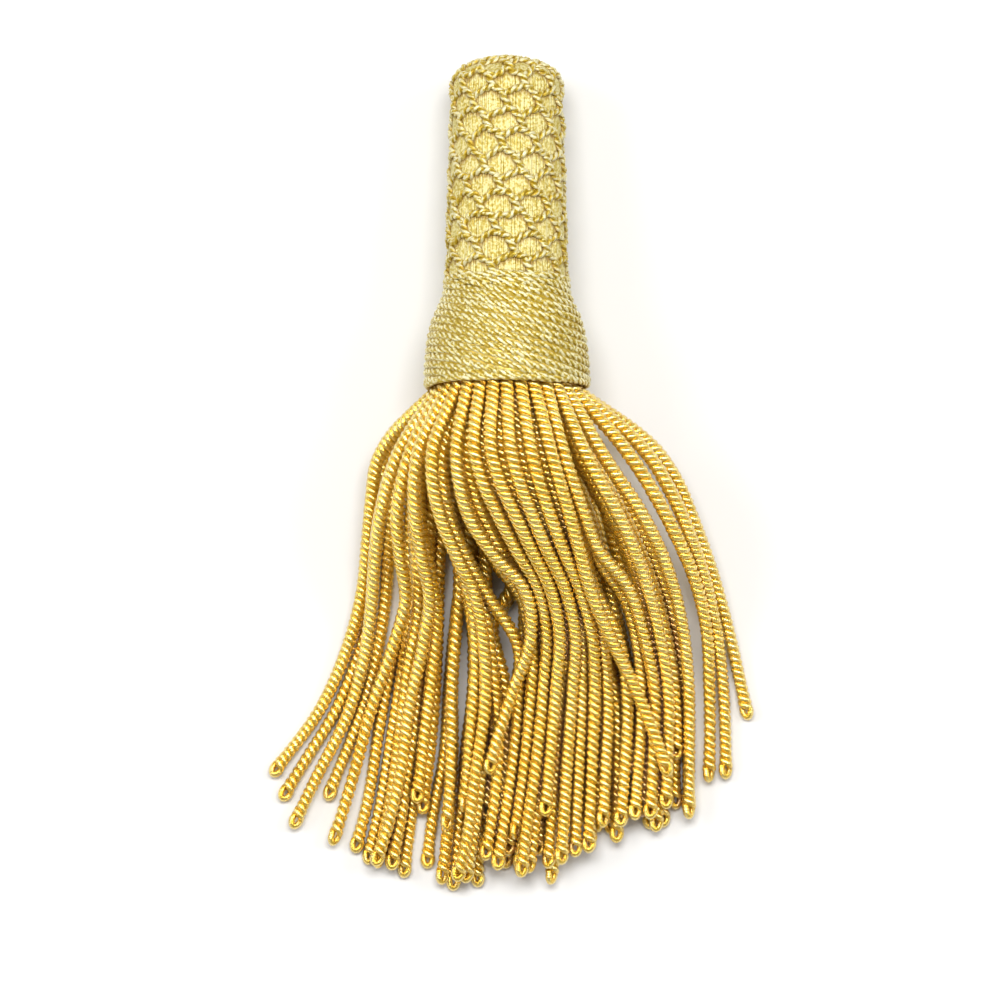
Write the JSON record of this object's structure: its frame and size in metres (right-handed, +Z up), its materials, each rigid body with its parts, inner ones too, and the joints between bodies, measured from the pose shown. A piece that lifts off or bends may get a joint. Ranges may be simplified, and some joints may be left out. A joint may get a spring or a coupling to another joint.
{
  "type": "bullion tassel",
  "caption": "Tassel with a slim netted shank, a cord-wound bell and a long skirt of twisted metal bullion strands, lying on a surface.",
  "frame": {"origin": "on the surface that the tassel lies on, under the middle of its bounding box", "axes": "+Y from the skirt to the domed end of the head, +Z up from the surface, +X to the right of both"},
  "size_m": [0.076, 0.1306, 0.0292],
  "materials": {
    "satin_thread": "satin gold thread, wrapped lengthwise",
    "net_cord": "two-ply twisted cord of metallised thread",
    "wound_cord": "rows of wound twisted cord of metallised thread",
    "bullion": "two-ply twist of bright gilt bullion"
  },
  "bodies": {
    "root": {"stem": "satin_thread", "stem_net": "net_cord", "collar": "wound_cord", "skirt": "bullion"}
  },
  "joints": []
}
